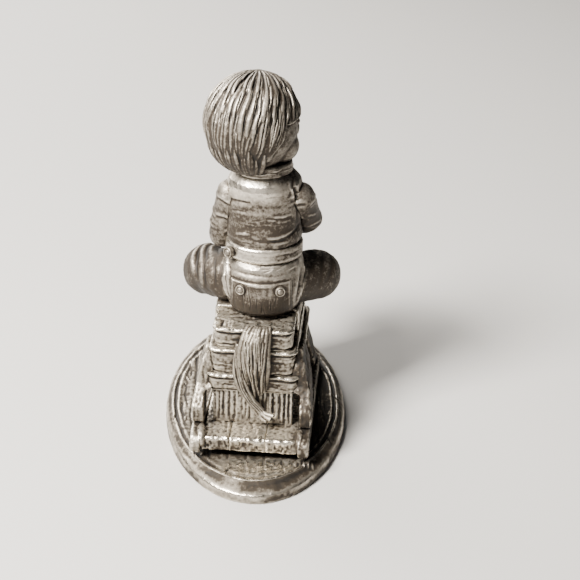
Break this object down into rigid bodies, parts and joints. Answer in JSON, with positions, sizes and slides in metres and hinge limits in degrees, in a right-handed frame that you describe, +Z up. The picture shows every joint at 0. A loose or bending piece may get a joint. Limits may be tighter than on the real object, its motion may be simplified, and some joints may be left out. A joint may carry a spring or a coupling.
{
  "type": "cast miniature figure",
  "caption": "Small cast metal figure of a child astride a boarded toy rocking horse on an oval stepped base, aged dark in its recesses.",
  "frame": {"origin": "centre of the underside of the oval base", "axes": "+Z up, -Y the way the horse's head points along the base, +X the child's left"},
  "size_m": [0.0248, 0.0424, 0.0498],
  "materials": {
    "base_metal": "aged pewter with dark recesses and worn bright edges",
    "horse_metal": "aged pewter with dark recesses and worn bright edges",
    "child_metal": "aged pewter, rubbed bright on the high spots"
  },
  "bodies": {
    "root": {"base": "base_metal", "rocker_left": "horse_metal", "rocker_right": "horse_metal", "platform_plank_left": "horse_metal", "platform_plank_middle": "horse_metal", "platform_plank_right": "horse_metal", "leg_panel_rear": "horse_metal", "leg_panel_front": "horse_metal", "body_board_bottom": "horse_metal", "body_board_middle": "horse_metal", "body_board_top": "horse_metal", "leg_hind_left": "horse_metal", "leg_hind_right": "horse_metal", "leg_fore_left": "horse_metal", "leg_fore_right": "horse_metal", "saddle_blanket": "horse_metal", "tail": "horse_metal", "tail_lock": "horse_metal", "handle_bar": "horse_metal", "horse_head": "horse_metal", "mane": "horse_metal", "ears": "horse_metal", "bridle": "horse_metal", "trousers_seat": "child_metal", "drop_seat_flap": "child_metal", "flap_buttons": "child_metal", "waistband": "child_metal", "brace_button": "child_metal", "shirt": "child_metal", "head": "child_metal", "collar": "child_metal", "hair": "child_metal", "hand_left": "child_metal", "sleeve_left": "child_metal", "hand_right": "child_metal", "sleeve_right": "child_metal", "trouser_leg_left": "child_metal", "shoe_left": "child_metal", "trouser_leg_right": "child_metal", "shoe_right": "child_metal"}
  },
  "joints": []
}
